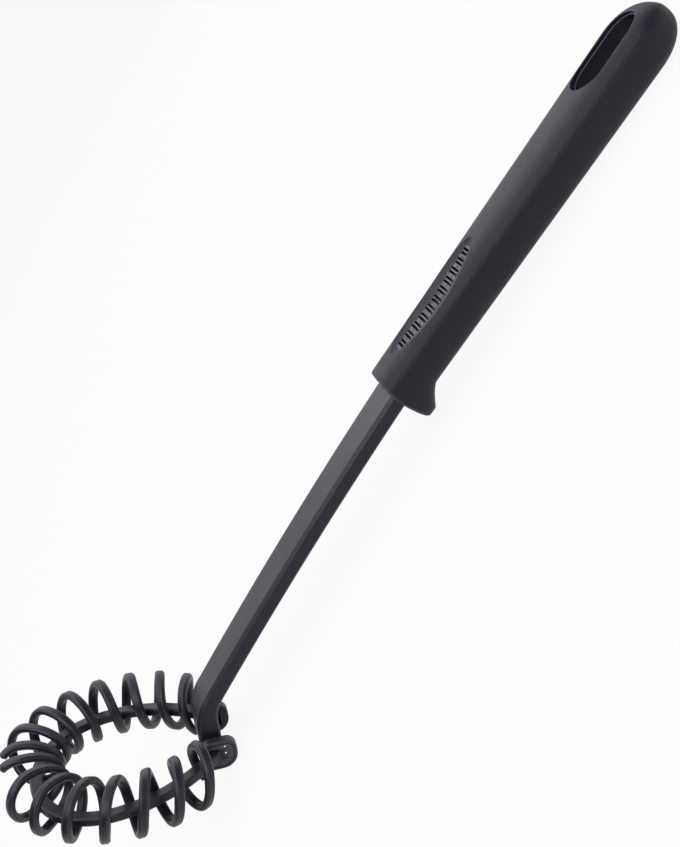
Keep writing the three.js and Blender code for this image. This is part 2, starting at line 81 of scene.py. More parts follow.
# Thumb dish and its grooves
DISH_START = 9.9
DISH_LENGTH = 40.6
DISH_WIDTH = 15
DISH_MIDDLE = DISH_START + DISH_LENGTH / 2
DISH_RIM = 0.25
DISH_ROLL = 0.45
DISH_HOLLOW = 1.2
DISH_END_POWER = 0.8
DISH_LEAST_SHARE = 0.3
DISH_SIDES = 120
DISH_FLOOR_RINGS = (0.03, 0.12, 0.25, 0.4, 0.55, 0.7, 0.82, 0.91, 0.97)
GROOVE_COUNT = 11
GROOVE_PITCH = 3.18
GROOVE_DEPTH = 1.1
GROOVE_SHARE = 0.5
SLIT_WIDTH = 0.75
SLIT_SPACING = 1.25

# Hanging slot
SLOT_LENGTH = 26.6
SLOT_WIDTH = 15.2
SLOT_TO_BUTT = 6.3
SLOT_LEDGE = 0.5
SLOT_LEDGE_DEPTH = 2
SLOT_LEDGE_ROUND = 0.3
SLOT_ROUND = 0.3
SLOT_ARC_STEPS = 32
SLOT_WALL_STEPS = 32
SLOT_LEDGE_STEPS = 4

# Arm
ARM_REACH = 107.4
ARM_WIDTHS = (16, 15.4)
ARM_THICKNESS = 5.1
ARM_TOP_CHAMFER = 1.0
ARM_BOTTOM_CHAMFER = 0.6
ARM_SOFTNESS = 0.35
ARM_STEPS = 60
START_SLOPE = radians(1.7)
END_SLOPE = radians(5.6)
BEND_RADIUS = 14
BEND_STEPS = 24
FOOT_WIDTH = 16.2
FOOT_THICKNESS = 6.9
FOOT_ABOVE_RING = 6.2
FOOT_BELOW_RING = 5.5
FOOT_EDGE = 0.5
ARM_SEAT = 8
TANG_LENGTH = 30
TANG_WIDTH = 11
TANG_THICKNESS = 3.6

# Head, whose frame has its X towards the foot and its Z square to the ring
HEAD_ANGLE = 47
FOOT_TO_CENTRE = 25.5

# Ring
RING_LENGTH = 58.6
RING_WIDTH = 53
RING_EGG = 0.2
RING_SHIFT = 0.8
RING_LEVEL_DROP = 2.45
RING_FALL = 0.054
BAR_WIDTH = 4.2
BAR_HEIGHT = 2.8
BAR_CHAMFER = 0.4
BAR_SOFTNESS = 0.2
BAR_CORNER_STEPS = 3
BAR_END_PASSES = 30
BAR_FLAT_STEP = 0.6
BAR_STEPS = 240
CHEEK_INSIDE = FOOT_WIDTH / 2 + SEAT_GAP
CHEEK_THICKNESS = 3.5
CHEEK_FRONT = 21.8
CHEEK_REAR = 32.8
CHEEK_TOP = 3.2
CHEEK_BOTTOM = -6.4
CHEEK_CORNER = 3.1
CHEEK_HEEL = 4.9
CHEEK_EDGE = 0.5
CHEEK_EDGE_STEPS = 4
CHEEK_CORNER_STEPS = 12
CHEEK_LINE_INSETS = (0.85, 0.95, 1.1, 1.2)
CHEEK_LINE_DEPTH = 0.2
KEY_LENGTH = 5.6
KEY_HEIGHT = 5
KEY_DEPTH = 2.4
KEY_DROP = 1
KEY_REAR = FOOT_TO_CENTRE + FOOT_THICKNESS / 2 - ARM_TOP_CHAMFER / 2
KEY_REACH = CHEEK_INSIDE + KEY_DEPTH
POCKET_RELIEF = 1.7
SIGHT_HOLE_RADIUS = 0.45
SIGHT_HOLE_LEVELS = (-1.25, 1.05)
SIGHT_HOLE_SIDES = 24
SIGHT_HOLE_REACH = 20
NYLON_SHARP_ANGLE = 32

# Coils
LOOP_A = RING_LENGTH / 2 + 1.8
LOOP_B = RING_WIDTH / 2 + 2.7
LOOP_SHIFT = -0.8
LOOP_LEVEL = 0.5
STRAND_WIDTH = 3.1
STRAND_THICKNESS = 2.3
STRAND_CHAMFER = 0.62
STRAND_SOFTNESS = 0.22
STRAND_FLAT_STEP = 0.5
LAST_TOP = 7
COIL_FIRST_TOP = 43.6
COIL_PITCH = 17.9
COIL_PITCH_GROWTH = 0.07
COIL_ROOT_LEAN = 4
COIL_LEADS = (3.8, -4.8)
COIL_RISE = 7.6
COIL_DROPS = (8.35, 9.9)
COIL_OUTS = (7.4, 6.3)
COIL_IN_FRONT = 11.7
COIL_SEAT_TURN = 0.25
COIL_SEAT_ROLL = 22
COIL_ROOT_TURN = 0.4
COIL_FREE_TURN = 0.13
COIL_LEAD_FADE = 0.35
COIL_STEPS = 84
COIL_CAP_RINGS = 5
RING_SAMPLES = 720


def lerp(a, b, share):
    return a + (b - a) * share


def smoothstep(value, low, high):
    share = min(1, max(0, (value - low) / (high - low)))
    return share * share * (3 - 2 * share)


# Meshes

def loft(rings):
    """A closed skin over a row of rings that have equal numbers of points."""
    mesh = bmesh.new()
    rows = [[mesh.verts.new(point) for point in ring] for ring in rings]
    for near, far in zip(rows, rows[1:]):
        for j in range(len(near)):
            mesh.faces.new((near[j - 1], near[j], far[j], far[j - 1]))
    mesh.faces.new(rows[0])
    mesh.faces.new(rows[-1][::-1])
    bmesh.ops.recalc_face_normals(mesh, faces=mesh.faces)
    return mesh


def box(low, high):
    corners = [(low[0], low[1]), (high[0], low[1]), (high[0], high[1]), (low[0], high[1])]
    return loft([[Vector((x, y, z)) for x, y in corners] for z in (low[2], high[2])])


def together(meshes):
    """One mesh of several that don't touch."""
    whole = bmesh.new()
    for mesh in meshes:
        data = bpy.data.meshes.new("part")
        mesh.to_mesh(data)
        mesh.free()
        whole.from_mesh(data)
        bpy.data.meshes.remove(data)
    return whole


def piece_of(name, mesh):
    data = bpy.data.meshes.new(name)
    mesh.to_mesh(data)
    mesh.free()
    piece = bpy.data.objects.new(name, data)
    bpy.context.collection.objects.link(piece)
    return piece


def apply_modifiers(piece):
    graph = bpy.context.evaluated_depsgraph_get()
    data = bpy.data.meshes.new_from_object(piece.evaluated_get(graph))
    piece.modifiers.clear()
    spent = piece.data
    piece.data = data
    bpy.data.meshes.remove(spent)
    data.name = piece.name


def combine(piece, meshes, operation):
    """Join meshes to a piece or cut them out of it, one after another."""
    for mesh in meshes:
        tool = piece_of("tool", mesh)
        modifier = piece.modifiers.new("combine", "BOOLEAN")
        modifier.operation = operation
        modifier.solver = "EXACT"
        modifier.object = tool
        apply_modifiers(piece)
        spent = tool.data
        bpy.data.objects.remove(tool)
        bpy.data.meshes.remove(spent)


def soften(piece, voxel, passes):
    """Remesh a piece evenly and smooth it, which rounds its edges as a mould does."""
    remesh = piece.modifiers.new("even", "REMESH")
    remesh.mode = "VOXEL"
    remesh.voxel_size = voxel
    smooth = piece.modifiers.new("round", "SMOOTH")
    smooth.factor = 0.5
    smooth.iterations = passes
    apply_modifiers(piece)


def mark_bends(data):
    """Store at each point of a mesh how sharply its surface bends outward there."""
    mesh = bmesh.new()
    mesh.from_mesh(data)
    mesh.normal_update()
    bends = []
    for point in mesh.verts:
        ways = [(edge.other_vert(point).co - point.co).normalized() for edge in point.link_edges]
        bends.append(-point.normal.dot(sum(ways, Vector())) / len(ways))
    mesh.free()
    data.attributes.new("bend", "FLOAT", "POINT").data.foreach_set("value", bends)


def finish_piece(piece, node, matrix, material, sharp_angle, flats=True):
    piece.data.transform(matrix)
    piece.data.shade_smooth()
    if sharp_angle:
        piece.data.set_sharp_from_angle(angle=radians(sharp_angle))
    if flats:
        weighted = piece.modifiers.new("flats", "WEIGHTED_NORMAL")
        weighted.keep_sharp = True
        apply_modifiers(piece)
    mark_bends(piece.data)
    piece.data.materials.clear()
    piece.data.materials.append(material)
    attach(piece, "root")
    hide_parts(node)


def soft_corners(corners, reach, steps=4):
    """A polygon with each corner rounded over a reach along its two edges."""
    points = []
    for i, corner in enumerate(corners):
        before = corner.lerp(corners[i - 1], min(0.5, reach / (corners[i - 1] - corner).length))
        after_corner = corners[(i + 1) % len(corners)]
        after = corner.lerp(after_corner, min(0.5, reach / (after_corner - corner).length))
        for step in range(steps):
            share = step / (steps - 1)
            points.append(before.lerp(corner, share).lerp(corner.lerp(after, share), share))
    return points


def stepped(points, longest):
    """A polygon with points added along its flats, so that none of its edges is long."""
    whole = []
    for i, point in enumerate(points):
        after = points[(i + 1) % len(points)]
        parts = max(1, round((after - point).length / longest))
        whole += [point.lerp(after, part / parts) for part in range(parts)]
    return whole


def chamfered_rectangle(width, height, top_cut, bottom_cut):
    w = width / 2
    h = height / 2
    corners = [
        (w - top_cut, h), (top_cut - w, h), (-w, h - top_cut), (-w, bottom_cut - h),
        (bottom_cut - w, -h), (w - bottom_cut, -h), (w, bottom_cut - h), (w, h - top_cut),
    ]
    return [Vector(corner) for corner in corners]


# Grip

def grip_half_sizes(x):
    past = max(0, x - BUTT_START) / BUTT_ROUND
    taper = (1 - past ** BUTT_SQUARENESS) ** (1 / BUTT_SQUARENESS)
    share = x / GRIP_LENGTH
    return taper * lerp(*GRIP_WIDTHS, share) / 2, taper * lerp(*GRIP_HEIGHTS, share) / 2


def grip_top(x, y):
    width, height = grip_half_sizes(x)
    return height * (1 - abs(y / width) ** GRIP_SQUARENESS) ** (1 / GRIP_SQUARENESS)


def rounded(value, power):
    return abs(value) ** power * (1 if value >= 0 else -1)


def spur_drop(x):
    share = min(1, max(0, (x - SPUR_TIP_END) / (SPUR_REAR - SPUR_TIP_END)))
    return SPUR_DROP * (1 - share) * (1 - share + 2 * SPUR_HOLLOW * share)


def grip_ring(x, inset):
    width, height = grip_half_sizes(x)
    dome = COLLAR_DOME * max(0, 1 - x / COLLAR_DOME_FADE)
    ring = []
    for j in range(GRIP_SIDES):
        angle = 2 * pi * j / GRIP_SIDES
        up = rounded(sin(angle), 2 / GRIP_SQUARENESS)
        across = rounded(cos(angle), 2 / GRIP_SQUARENESS)
        z = (height - inset + (spur_drop(x) if up < 0 else 0)) * up
        ring.append(Vector((x + dome * up * up, (width - inset) * across, max(SPUR_LEVEL, z))))
    return ring


def grip_body():
    rings = []
    for angle in COLLAR_EDGE_ANGLES:
        x = COLLAR_FRONT + COLLAR_EDGE * (1 - cos(radians(angle)))
        rings.append(grip_ring(x, COLLAR_EDGE * (1 - sin(radians(angle)))))
    collar_end = COLLAR_FRONT + COLLAR_EDGE
    stretches = ((collar_end, SPUR_TIP_END, COLLAR_STEPS), (SPUR_TIP_END, SPUR_REAR, SPUR_STEPS))
    for start, end, steps in stretches:
        for i in range(steps):
            rings.append(grip_ring(lerp(start, end, i / steps), 0))
    for i in range(GRIP_STEPS + 1):
        rings.append(grip_ring(lerp(SPUR_REAR, BUTT_START, i / GRIP_STEPS), 0))
    for i in range(1, BUTT_STEPS):
        rings.append(grip_ring(BUTT_START + BUTT_ROUND * sin(pi / 2 * i / BUTT_STEPS), 0))
    return loft(rings)


def dish_half_width(x):
    out = (x - DISH_MIDDLE) / (DISH_LENGTH / 2)
    return DISH_WIDTH / 2 * sqrt(max(0, 1 - out * out))


def dish_share(x):
    """The share of its depth that the dish has at x, which falls away towards its ends."""
    return max(DISH_LEAST_SHARE, (dish_half_width(x) / (DISH_WIDTH / 2)) ** DISH_END_POWER)


def dish_floor(x, y):
    half = dish_half_width(x)
    return grip_top(x, half) - dish_share(x) * (DISH_RIM + DISH_HOLLOW * (1 - (y / half) ** 2))


def dish_plan(share, spread):
    length = share * DISH_LENGTH / 2 + spread
    width = share * DISH_WIDTH / 2 + spread
    turns = [2 * pi * i / DISH_SIDES for i in range(DISH_SIDES)]
    return [(DISH_MIDDLE + length * cos(turn), width * sin(turn)) for turn in turns]


def dish_cutter():
    """The dish's hollow floor, and a rim that rolls over into the grip's surface."""
    rings = []
    for share in DISH_FLOOR_RINGS:
        rings.append([Vector((x, y, dish_floor(x, y))) for x, y in dish_plan(share, 0)])
    for i in range(ROUND_STEPS + 1):
        turn = pi / 2 * i / ROUND_STEPS
        sunk = DISH_RIM * (1 - sin(turn))
        plan = dish_plan(1, DISH_ROLL * (1 - cos(turn)))
        rings.append([Vector((x, y, grip_top(x, y) - sunk * dish_share(x))) for x, y in plan])
    rings.append([Vector((x, y, ABOVE_GRIP)) for x, y in dish_plan(1, DISH_ROLL)])
    return loft(rings)


def groove_slits():
    slits = []
    for i in range(2 * GROOVE_COUNT):
        groove = DISH_MIDDLE + (i // 2 - (GROOVE_COUNT - 1) / 2) * GROOVE_PITCH
        x = groove + (i % 2 - 0.5) * SLIT_SPACING
        half = GROOVE_SHARE * dish_half_width(groove)
        low = (x - SLIT_WIDTH / 2, -half, dish_floor(groove, 0) - GROOVE_DEPTH)
        slits.append(box(low, (x + SLIT_WIDTH / 2, half, ABOVE_GRIP)))
    return slits


def slot_plan(inset):
    middle = GRIP_LENGTH - SLOT_TO_BUTT - SLOT_LENGTH / 2
    radius = SLOT_WIDTH / 2 - inset
    straight = (SLOT_LENGTH - SLOT_WIDTH) / 2
    plan = []
    for side in (1, -1):
        for i in range(SLOT_ARC_STEPS + 1):
            angle = -pi / 2 + pi * i / SLOT_ARC_STEPS
            x = middle + side * (straight + radius * cos(angle))
            plan.append((x, side * radius * sin(angle)))
    return plan


def slot_cutter():
    """The slot, with its round-edged ledge and an upper rim rounded along the grip's surface."""
    ledge = GRIP_HEIGHTS[1] / 2 - SLOT_LEDGE_DEPTH
    wall_top = ledge - SLOT_LEDGE_ROUND
    wall = [lerp(-ABOVE_GRIP, wall_top, i / SLOT_WALL_STEPS) for i in range(SLOT_WALL_STEPS)]
    levels = [(SLOT_LEDGE, z) for z in wall]
    for i in range(SLOT_LEDGE_STEPS + 1):
        turn = pi / 2 * i / SLOT_LEDGE_STEPS
        inset = SLOT_LEDGE - SLOT_LEDGE_ROUND * (1 - cos(turn))
        levels.append((inset, ledge - SLOT_LEDGE_ROUND * (1 - sin(turn))))
    levels.append((0, ledge))
    rings = [[Vector((x, y, z)) for x, y in slot_plan(inset)] for inset, z in levels]
    for i in range(ROUND_STEPS + 1):
        turn = pi / 2 * i / ROUND_STEPS
        inset = -SLOT_ROUND * (1 - cos(turn))
        sunk = SLOT_ROUND * (1 - sin(turn))
        rings.append([Vector((x, y, grip_top(x, y) - sunk)) for x, y in slot_plan(inset)])
    rings.append([Vector((x, y, ABOVE_GRIP)) for x, y in slot_plan(-SLOT_ROUND)])
    return loft(rings)


# Arm

BOW_RADIUS = ARM_REACH / (END_SLOPE - START_SLOPE)
FOOT_SLOPE = radians(90 - HEAD_ANGLE)
BEND_LENGTH = BEND_RADIUS * (FOOT_SLOPE - END_SLOPE)
FOOT_START = ARM_REACH + BEND_LENGTH
RING_LEVEL = FOOT_START + FOOT_ABOVE_RING
ARM_LENGTH = RING_LEVEL + FOOT_BELOW_RING


def along_arc(x, z, slope, radius, length):
    turned = slope + length / radius
    return x - radius * (sin(turned) - sin(slope)), z + radius * (cos(turned) - cos(slope)), turned


def along_line(x, z, slope, length):
    return x - length * cos(slope), z - length * sin(slope), slope


def arm_place(length):
    """A point and the slope on the arm's middle line, a length from the collar."""
    if length <= 0:
        return along_line(0, 0, START_SLOPE, length)
    if length <= ARM_REACH:
        return along_arc(0, 0, START_SLOPE, BOW_RADIUS, length)
    bow_end = along_arc(0, 0, START_SLOPE, BOW_RADIUS, ARM_REACH)
    if length <= FOOT_START:
        return along_arc(*bow_end, BEND_RADIUS, length - ARM_REACH)
    return along_line(*along_arc(*bow_end, BEND_RADIUS, BEND_LENGTH), length - FOOT_START)


def arm_ring(length, width, thickness):
    x, z, slope = arm_place(length)
    corners = chamfered_rectangle(width, thickness, ARM_TOP_CHAMFER, ARM_BOTTOM_CHAMFER)
    section = soft_corners(corners, ARM_SOFTNESS)
    return [Vector((x - p.y * sin(slope), p.x, z + p.y * cos(slope))) for p in section]


def seated_rings(clearance):
    grow = 2 * clearance
    shoulder = -ARM_SEAT - clearance
    return [
        arm_ring(shoulder - TANG_LENGTH, TANG_WIDTH + grow, TANG_THICKNESS + grow),
        arm_ring(shoulder, TANG_WIDTH + grow, TANG_THICKNESS + grow),
        arm_ring(shoulder, ARM_WIDTHS[0] + grow, ARM_THICKNESS + grow),
    ]


def arm_body():
    rings = seated_rings(0)
    for i in range(ARM_STEPS + 1):
        share = i / ARM_STEPS
        rings.append(arm_ring(share * ARM_REACH, lerp(*ARM_WIDTHS, share), ARM_THICKNESS))
    for i in range(1, BEND_STEPS + 1):
        share = i / BEND_STEPS
        width = lerp(ARM_WIDTHS[1], FOOT_WIDTH, share)
        thickness = lerp(ARM_THICKNESS, FOOT_THICKNESS, share)
        rings.append(arm_ring(ARM_REACH + share * BEND_LENGTH, width, thickness))
    for i in range(ROUND_STEPS + 1):
        turn = pi / 2 * i / ROUND_STEPS
        inset = 2 * FOOT_EDGE * (1 - cos(turn))
        length = ARM_LENGTH - FOOT_EDGE * (1 - sin(turn))
        rings.append(arm_ring(length, FOOT_WIDTH - inset, FOOT_THICKNESS - inset))
    return loft(rings)


def arm_socket():
    grow = 2 * SEAT_GAP
    outside = arm_ring(2 * COLLAR_DOME + SEAT_GAP, ARM_WIDTHS[0] + grow, ARM_THICKNESS + grow)
    return loft(seated_rings(SEAT_GAP) + [outside])


ring_foot_x, ring_foot_z, _ = arm_place(RING_LEVEL)
HEAD_TURN = radians(HEAD_ANGLE)
HEAD_PLACE = Vector((
    ring_foot_x - FOOT_TO_CENTRE * cos(HEAD_TURN), 0, ring_foot_z + FOOT_TO_CENTRE * sin(HEAD_TURN),
))
HEAD_IN_TOOL = Matrix.Translation(HEAD_PLACE) @ Matrix.Rotation(HEAD_TURN, 4, "Y")
HEAD = TOOL @ HEAD_IN_TOOL


def key_block():
    low = (KEY_REAR - KEY_LENGTH, -KEY_REACH, -KEY_DROP - KEY_HEIGHT / 2)
    return box(low, (KEY_REAR, KEY_REACH, -KEY_DROP + KEY_HEIGHT / 2))


def key_pocket():
    reach = KEY_REACH + SEAT_GAP
    half = KEY_HEIGHT / 2 + SEAT_GAP
    low = (KEY_REAR - KEY_LENGTH - SEAT_GAP, -reach, -KEY_DROP - half)
    return box(low, (KEY_REAR + POCKET_RELIEF, reach, -KEY_DROP + half))


# Ring

def ring_point(angle):
    x = RING_SHIFT + RING_LENGTH / 2 * cos(angle)
    y = -RING_WIDTH / 2 * sin(angle) * (1 - RING_EGG * cos(angle))
    return Vector((x, y, RING_FALL * x - RING_LEVEL_DROP))


def ring_bar():
    middle = CHEEK_INSIDE + CHEEK_THICKNESS / 2
    end = 0
    for _ in range(BAR_END_PASSES):
        end = asin(middle / (RING_WIDTH / 2 * (1 - RING_EGG * cos(end))))
    corners = chamfered_rectangle(BAR_WIDTH, BAR_HEIGHT, BAR_CHAMFER, BAR_CHAMFER)
    section = stepped(soft_corners(corners, BAR_SOFTNESS, BAR_CORNER_STEPS), BAR_FLAT_STEP)
    rings = []
    for i in range(BAR_STEPS + 1):
        angle = lerp(end, 2 * pi - end, i / BAR_STEPS)
        point = ring_point(angle)
        along = ring_point(angle + SMALL_STEP) - ring_point(angle - SMALL_STEP)
        outward = Vector((-along.y, along.x, 0)).normalized()
        rings.append([point + outward * p.x + Vector((0, 0, p.y)) for p in section])
    return loft(rings)


def cheek_outline(inset):
    front, rear = CHEEK_FRONT + inset, CHEEK_REAR - inset
    bottom, top = CHEEK_BOTTOM + inset, CHEEK_TOP - inset
    corner = CHEEK_CORNER - inset
    heel = CHEEK_HEEL - inset
    arcs = [
        (rear - corner, top - corner, corner, 0),
        (front + corner, top - corner, corner, 90),
        (front + corner, bottom + corner, corner, 180),
        (rear - heel, bottom + heel, heel, 270),
    ]
    points = []
    for x, z, radius, start in arcs:
        for i in range(CHEEK_CORNER_STEPS + 1):
            angle = radians(start + 90 * i / CHEEK_CORNER_STEPS)
            points.append((x + radius * cos(angle), z + radius * sin(angle)))
    return points


def cheek(side):
    """A plate with rounded edges and a fine line pressed in along its outer rim."""
    turns = [pi / 2 * i / CHEEK_EDGE_STEPS for i in range(CHEEK_EDGE_STEPS + 1)]
    profile = [(CHEEK_EDGE * (1 - cos(turn)), CHEEK_EDGE * (1 - sin(turn))) for turn in turns]
    pressed = CHEEK_THICKNESS - CHEEK_LINE_DEPTH
    line_depths = (CHEEK_THICKNESS, pressed, pressed, CHEEK_THICKNESS)
    levels = list(profile)
    levels += [(CHEEK_THICKNESS - depth, inset) for depth, inset in reversed(profile)]
    levels += list(zip(line_depths, CHEEK_LINE_INSETS))
    rings = []
    for depth, inset in levels:
        y = side * (CHEEK_INSIDE + depth)
        rings.append([Vector((x, y, z)) for x, z in cheek_outline(inset)])
    return loft(rings)


def sight_hole(level):
    middle = KEY_REAR + SEAT_GAP + SIGHT_HOLE_RADIUS
    rings = []
    for y in (-SIGHT_HOLE_REACH, SIGHT_HOLE_REACH):
        ring = []
        for i in range(SIGHT_HOLE_SIDES):
            turn = 2 * pi * i / SIGHT_HOLE_SIDES
            x = middle + SIGHT_HOLE_RADIUS * cos(turn)
            ring.append(Vector((x, y, level + SIGHT_HOLE_RADIUS * sin(turn))))
        rings.append(ring)
    return loft(rings)


# Coils

def coil_angle(turn):
    lead = lerp(*COIL_LEADS, turn / LAST_TOP)
    fade = smoothstep(LAST_TOP + COIL_FREE_TURN - turn, 0, COIL_LEAD_FADE)
    steady = COIL_FIRST_TOP + (COIL_PITCH + COIL_PITCH_GROWTH * turn) * turn
    return radians(steady + COIL_ROOT_LEAN * min(turn, 0) + lead * fade * sin(2 * pi * turn))


def towards_foot(angle):
    return (1 + cos(angle)) / 2


def loop_point(angle):
    return Vector((LOOP_SHIFT + LOOP_A * cos(angle), -LOOP_B * sin(angle), LOOP_LEVEL))


def loop_outward(angle):
    return Vector((cos(angle) / LOOP_A, -sin(angle) / LOOP_B, 0)).normalized()


def plan_distance_to_ring(point):
    samples = [ring_point(pi * i / RING_SAMPLES) for i in range(RING_SAMPLES + 1)]
    return min(hypot(sample.x - point.x, sample.y - point.y) for sample in samples)


ROOT_ANGLE = coil_angle(-COIL_SEAT_TURN)
SEAT_REACH = BAR_WIDTH / 2 + SEAT_GAP + STRAND_WIDTH / 2
SEAT_DISTANCE = plan_distance_to_ring(loop_point(ROOT_ANGLE)) + SEAT_REACH
COIL_IN_ROOT = SEAT_DISTANCE / cos(radians(COIL_SEAT_ROLL))


def coil_point(turn):
    angle = coil_angle(turn)
    share = towards_foot(angle)
    roll = pi / 2 - 2 * pi * turn
    into = lerp(COIL_IN_FRONT, COIL_IN_ROOT, share / towards_foot(ROOT_ANGLE))
    across = cos(roll) * (lerp(*COIL_OUTS, share) if cos(roll) > 0 else into)
    up = sin(roll) * (COIL_RISE if sin(roll) > 0 else lerp(*COIL_DROPS, share))
    return loop_point(angle) + loop_outward(angle) * across + Vector((0, 0, up))


def strand_section():
    """A flat strand with soft corners, as reaches out from the loop and along it."""
    corners = chamfered_rectangle(STRAND_WIDTH, STRAND_THICKNESS, STRAND_CHAMFER, STRAND_CHAMFER)
    section = stepped(soft_corners(corners, STRAND_SOFTNESS), STRAND_FLAT_STEP)
    return [(p.y, p.x) for p in section]


def coil_body(mirror):
    section = strand_section()
    span = COIL_ROOT_TURN + LAST_TOP + COIL_FREE_TURN
    steps = round(span * COIL_STEPS)
    rings = []

    def add_ring(turn, scale, shift):
        point = coil_point(turn)
        along = (coil_point(turn + SMALL_STEP) - coil_point(turn - SMALL_STEP)).normalized()
        side = along.cross(point - loop_point(coil_angle(turn))).normalized()
        out = side.cross(along)
        middle = point + along * shift
        ring = [middle + out * (scale * o) + side * (scale * s) for o, s in section]
        rings.append([Vector((p.x, mirror * p.y, p.z)) for p in ring])

    reach = STRAND_THICKNESS / 2
    for i in range(1, COIL_CAP_RINGS + 1):
        bend = pi / 2 * i / (COIL_CAP_RINGS + 1)
        add_ring(-COIL_ROOT_TURN, sin(bend), reach - reach * cos(bend))
    for i in range(1, steps):
        turn = -COIL_ROOT_TURN + span * i / steps
        add_ring(turn, 1, 0)
    for i in range(COIL_CAP_RINGS, 0, -1):
        bend = pi / 2 * i / (COIL_CAP_RINGS + 1)
        add_ring(LAST_TOP + COIL_FREE_TURN, sin(bend), reach * cos(bend) - reach)
    return loft(rings)


# Plastics, with their grain in metres

TINT_SPREAD = 0.2
TINT_SCALE = 60
TINT_DETAIL = 3
SHEEN_SPREAD = 0.06
SHEEN_SCALE = 150
SHEEN_DETAIL = 4
GRAIN_DETAIL = 2
GRAIN_STRENGTH = 0.5
# Painted highlight: where the surface bends more sharply than this range, the edge takes a paler
# colour
EDGE_HIGHLIGHT_BENDS = (0.04, 0.13)


def plastic(name, base, edge_highlight, shine, roughness, grain, depth):
    """Moulded plastic with a fine grain, cloudy sheen, uneven colour and paler edges: a painted
    highlight along sharp bends, partly rubbed wear.
    """
    material = bpy.data.materials.new(name)
    material.use_nodes = True
    nodes = material.node_tree.nodes
    link = material.node_tree.links.new
    surface = nodes["Principled BSDF"]
    surface.inputs["Specular IOR Level"].default_value = shine
    place = nodes.new("ShaderNodeTexCoord")

    def noise(scale, detail):
        node = nodes.new("ShaderNodeTexNoise")
        node.inputs["Scale"].default_value = scale
        node.inputs["Detail"].default_value = detail
        link(place.outputs["Object"], node.inputs["Vector"])
        return node

    cloud = noise(TINT_SCALE, TINT_DETAIL)
    tint = nodes.new("ShaderNodeMix")
    tint.data_type = "RGBA"
    tint.inputs["A"].default_value = (*[(1 - TINT_SPREAD) * c for c in base], 1)
    tint.inputs["B"].default_value = (*[(1 + TINT_SPREAD) * c for c in base], 1)
    link(cloud.outputs["Fac"], tint.inputs["Factor"])

    # Painted highlight along edges: the stored bend mixes a paler colour into the base where the
    # surface bends sharply
    bend = nodes.new("ShaderNodeAttribute")
    bend.attribute_name = "bend"
    rim = nodes.new("ShaderNodeMapRange")
    rim.inputs["From Min"].default_value = EDGE_HIGHLIGHT_BENDS[0]
    rim.inputs["From Max"].default_value = EDGE_HIGHLIGHT_BENDS[1]
    link(bend.outputs["Fac"], rim.inputs["Value"])
    edge_highlight_mix = nodes.new("ShaderNodeMix")
    edge_highlight_mix.data_type = "RGBA"
    edge_highlight_mix.inputs["B"].default_value = (*edge_highlight, 1)
    link(rim.outputs["Result"], edge_highlight_mix.inputs["Factor"])
    link(tint.outputs["Result"], edge_highlight_mix.inputs["A"])
    link(edge_highlight_mix.outputs["Result"], surface.inputs["Base Color"])

    smear = noise(SHEEN_SCALE, SHEEN_DETAIL)
    sheen = nodes.new("ShaderNodeMapRange")
    sheen.inputs["To Min"].default_value = roughness - SHEEN_SPREAD
    sheen.inputs["To Max"].default_value = roughness + SHEEN_SPREAD
    link(smear.outputs["Fac"], sheen.inputs["Value"])
    link(sheen.outputs["Result"], surface.inputs["Roughness"])

    fine = noise(1 / grain, GRAIN_DETAIL)
    bump = nodes.new("ShaderNodeBump")
    bump.inputs["Strength"].default_value = GRAIN_STRENGTH
    bump.inputs["Distance"].default_value = depth
    link(fine.outputs["Fac"], bump.inputs["Height"])
    link(bump.outputs["Normal"], surface.inputs["Normal"])
    return material


# The paler edge colours below are a painted highlight along sharp bends
GRIP_PLASTIC = plastic(
    "grip_plastic", base=(0.006, 0.0062, 0.013), edge_highlight=(0.12, 0.12, 0.13),
    shine=0.35, roughness=0.54, grain=0.0006, depth=0.0004,
)
NYLON = plastic(
    "black_nylon", base=(0.007, 0.0073, 0.015), edge_highlight=(0.06, 0.06, 0.07),
    shine=0.37, roughness=0.42, grain=0.0005, depth=0.00008,
)

# Pieces

handle = piece_of("whisk_handle", grip_body())
combine(handle, [arm_socket()], "DIFFERENCE")
soften(handle, GRIP_VOXEL, GRIP_SMOOTH_PASSES)
combine(handle, [together([slot_cutter(), dish_cutter()]), together(groove_slits())], "DIFFERENCE")
finish_piece(handle, "handle", TOOL, GRIP_PLASTIC, GRIP_SHARP_ANGLE, flats=False)

arm = piece_of("whisk_arm", arm_body())
key = key_block()
bmesh.ops.transform(key, matrix=HEAD_IN_TOOL, verts=key.verts)
combine(arm, [key], "UNION")
finish_piece(arm, "arm", TOOL, NYLON, NYLON_SHARP_ANGLE)

ring = piece_of("whisk_ring", ring_bar())
combine(ring, [cheek(1), cheek(-1)], "UNION")
combine(ring, [key_pocket(), *[sight_hole(level) for level in SIGHT_HOLE_LEVELS]], "DIFFERENCE")
finish_piece(ring, "ring", HEAD, NYLON, NYLON_SHARP_ANGLE)

for node, mirror in (("coil_right", 1), ("coil_left", -1)):
    coil = piece_of("whisk_" + node, coil_body(mirror))
    finish_piece(coil, node, HEAD, NYLON, None)

# Stage: a white sweep, flat under the tool and rising behind it

SWEEP_FRONT = -1.6
SWEEP_BACK = 1.3
SWEEP_RADIUS = 0.5
SWEEP_TOP = 2.4
SWEEP_HALF_WIDTH = 4
SWEEP_STEPS = 12
PAPER_GREY = 0.75
PAPER_ROUGHNESS = 0.9
WHITE_SHARE = 0.92


